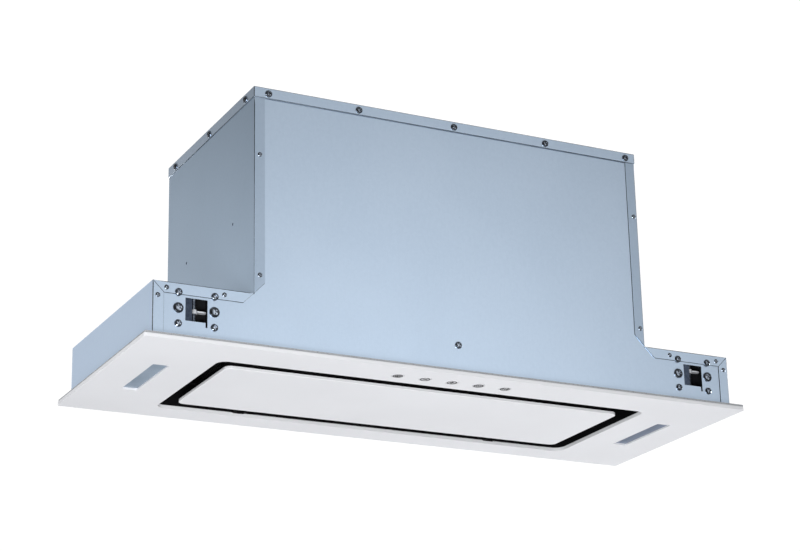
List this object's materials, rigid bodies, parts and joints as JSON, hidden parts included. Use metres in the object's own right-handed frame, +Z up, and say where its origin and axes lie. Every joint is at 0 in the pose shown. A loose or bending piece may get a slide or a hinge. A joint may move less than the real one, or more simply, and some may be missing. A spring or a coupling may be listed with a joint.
{
  "type": "ceiling range hood",
  "caption": "Flush ceiling extractor hood: white glass panel with a hinged perimeter door, lamps and buttons, under a galvanised casing with a blower and a round duct collar.",
  "frame": {"origin": "middle of the glass panel, at the height of its lower face", "axes": "+X to the right along the panel, +Y to the back, +Z up into the ceiling"},
  "size_m": [0.9, 0.345, 0.4066],
  "materials": {
    "white_glass": "clear float glass painted off-white on its back, polished edges",
    "galvanised_steel": "hot-dip galvanised sheet with a faint fine spangle",
    "zinc_fasteners": "bright zinc plate",
    "white_steel": "off-white powder coat",
    "black_steel": "matt black powder coat",
    "foam_seal": "closed-cell foam",
    "frosted_lens": "frosted, grey-blue when unlit",
    "lamp_plastic": "white moulded plastic",
    "circuit_board": "green solder mask",
    "dark_bezel": "dark grey moulded ring",
    "button_plastic": "light grey moulded cap with a small plain mark",
    "black_plastic": "fine-textured black moulding",
    "filter_aluminium": "satin, mesh slightly dulled",
    "latch_plastic": "black moulding",
    "motor_metal": "grey enamel"
  },
  "bodies": {
    "root": {"glass_frame": "white_glass", "front_sheet": "galvanised_steel", "back_sheet": "galvanised_steel", "housing_side_left": "galvanised_steel", "housing_side_right": "galvanised_steel", "shoulder_left": "galvanised_steel", "shoulder_right": "galvanised_steel", "end_wall_left": "galvanised_steel", "end_wall_right": "galvanised_steel", "top_cover": "galvanised_steel", "clamp_brackets": "galvanised_steel", "motor_bracket": "galvanised_steel", "scroll_housing": "galvanised_steel", "duct_collar": "galvanised_steel", "cover_screws": "zinc_fasteners", "clamp_screws": "zinc_fasteners", "flange_rivets": "zinc_fasteners", "frame_screws": "zinc_fasteners", "door_hinge_pins": "zinc_fasteners", "frame_tray": "white_steel", "intake_liner": "black_steel", "filter_deck": "black_steel", "door_hinge_brackets": "black_steel", "seal_strip": "foam_seal", "lamp_lens_left": "frosted_lens", "lamp_lens_right": "frosted_lens", "lamp_housing_left": "lamp_plastic", "lamp_housing_right": "lamp_plastic", "lamp_boards": "circuit_board", "switch_board": "circuit_board", "button_bezels": "dark_bezel", "control_housing": "black_plastic", "terminal_box": "black_plastic", "cable_gland": "black_plastic", "door_catches": "black_plastic", "filter_frame_left": "filter_aluminium", "filter_frame_right": "filter_aluminium", "filter_mesh_left": "filter_aluminium", "filter_mesh_right": "filter_aluminium", "motor": "motor_metal"},
    "door": {"door_glass": "white_glass", "door_tray": "black_steel"},
    "button_1": {"button_1": "button_plastic"},
    "button_2": {"button_2": "button_plastic"},
    "button_3": {"button_3": "button_plastic"},
    "button_4": {"button_4": "button_plastic"},
    "button_5": {"button_5": "button_plastic"},
    "impeller": {"impeller": "black_plastic"},
    "flap_front": {"flap_front": "galvanised_steel"},
    "flap_back": {"flap_back": "galvanised_steel"},
    "clamp_spindle_front_left": {"clamp_spindle_front_left": "zinc_fasteners"},
    "clamp_lug_front_left": {"clamp_lug_front_left": "zinc_fasteners"},
    "clamp_spindle_back_left": {"clamp_spindle_back_left": "zinc_fasteners"},
    "clamp_lug_back_left": {"clamp_lug_back_left": "zinc_fasteners"},
    "clamp_spindle_front_right": {"clamp_spindle_front_right": "zinc_fasteners"},
    "clamp_lug_front_right": {"clamp_lug_front_right": "zinc_fasteners"},
    "clamp_spindle_back_right": {"clamp_spindle_back_right": "zinc_fasteners"},
    "clamp_lug_back_right": {"clamp_lug_back_right": "zinc_fasteners"},
    "filter_latch_left": {"filter_latch_left": "latch_plastic"},
    "filter_latch_right": {"filter_latch_right": "latch_plastic"}
  },
  "joints": [
    {"name": "door_hinge", "type": "hinge", "parent": "root", "child": "door", "pos_m": [0, 0.1062, 0.008], "axis": [1, 0, 0], "range_deg": [0, 90]},
    {"name": "button_1_press", "type": "slide", "parent": "root", "child": "button_1", "axis": [0, 0, 1], "range_m": [0, 0.001], "stiffness_N_per_m": 400, "springref_m": -0.001},
    {"name": "button_2_press", "type": "slide", "parent": "root", "child": "button_2", "axis": [0, 0, 1], "range_m": [0, 0.001], "stiffness_N_per_m": 400, "springref_m": -0.001},
    {"name": "button_3_press", "type": "slide", "parent": "root", "child": "button_3", "axis": [0, 0, 1], "range_m": [0, 0.001], "stiffness_N_per_m": 400, "springref_m": -0.001},
    {"name": "button_4_press", "type": "slide", "parent": "root", "child": "button_4", "axis": [0, 0, 1], "range_m": [0, 0.001], "stiffness_N_per_m": 400, "springref_m": -0.001},
    {"name": "button_5_press", "type": "slide", "parent": "root", "child": "button_5", "axis": [0, 0, 1], "range_m": [0, 0.001], "stiffness_N_per_m": 400, "springref_m": -0.001},
    {"name": "impeller_spin", "type": "hinge", "parent": "root", "child": "impeller", "pos_m": [0, 0.058, 0.205], "axis": [1, 0, 0], "continuous": true},
    {"name": "flap_front_hinge", "type": "hinge", "parent": "root", "child": "flap_front", "pos_m": [0, -0.004, 0.335], "axis": [-1, 0, 0], "range_deg": [0, 80]},
    {"name": "flap_back_hinge", "type": "hinge", "parent": "root", "child": "flap_back", "pos_m": [0, 0.004, 0.335], "axis": [1, 0, 0], "range_deg": [0, 80]},
    {"name": "clamp_front_left_swing", "type": "hinge", "parent": "root", "child": "clamp_spindle_front_left", "pos_m": [-0.3757, -0.1485, 0.045], "axis": [0, 0, -1], "range_deg": [0, 90]},
    {"name": "clamp_front_left_travel", "type": "slide", "parent": "clamp_spindle_front_left", "child": "clamp_lug_front_left", "axis": [0, 0, 1], "range_m": [-0.013, 0.012]},
    {"name": "clamp_back_left_swing", "type": "hinge", "parent": "root", "child": "clamp_spindle_back_left", "pos_m": [-0.3757, 0.1485, 0.045], "axis": [0, 0, 1], "range_deg": [0, 90]},
    {"name": "clamp_back_left_travel", "type": "slide", "parent": "clamp_spindle_back_left", "child": "clamp_lug_back_left", "axis": [0, 0, 1], "range_m": [-0.013, 0.012]},
    {"name": "clamp_front_right_swing", "type": "hinge", "parent": "root", "child": "clamp_spindle_front_right", "pos_m": [0.3757, -0.1485, 0.045], "axis": [0, 0, -1], "range_deg": [0, 90]},
    {"name": "clamp_front_right_travel", "type": "slide", "parent": "clamp_spindle_front_right", "child": "clamp_lug_front_right", "axis": [0, 0, 1], "range_m": [-0.021, 0.004]},
    {"name": "clamp_back_right_swing", "type": "hinge", "parent": "root", "child": "clamp_spindle_back_right", "pos_m": [0.3757, 0.1485, 0.045], "axis": [0, 0, 1], "range_deg": [0, 90]},
    {"name": "clamp_back_right_travel", "type": "slide", "parent": "clamp_spindle_back_right", "child": "clamp_lug_back_right", "axis": [0, 0, 1], "range_m": [-0.021, 0.004]},
    {"name": "filter_latch_left_slide", "type": "slide", "parent": "root", "child": "filter_latch_left", "axis": [0, 1, 0], "range_m": [0, 0.006], "stiffness_N_per_m": 150, "springref_m": -0.004},
    {"name": "filter_latch_right_slide", "type": "slide", "parent": "root", "child": "filter_latch_right", "axis": [0, 1, 0], "range_m": [0, 0.006], "stiffness_N_per_m": 150, "springref_m": -0.004}
  ]
}
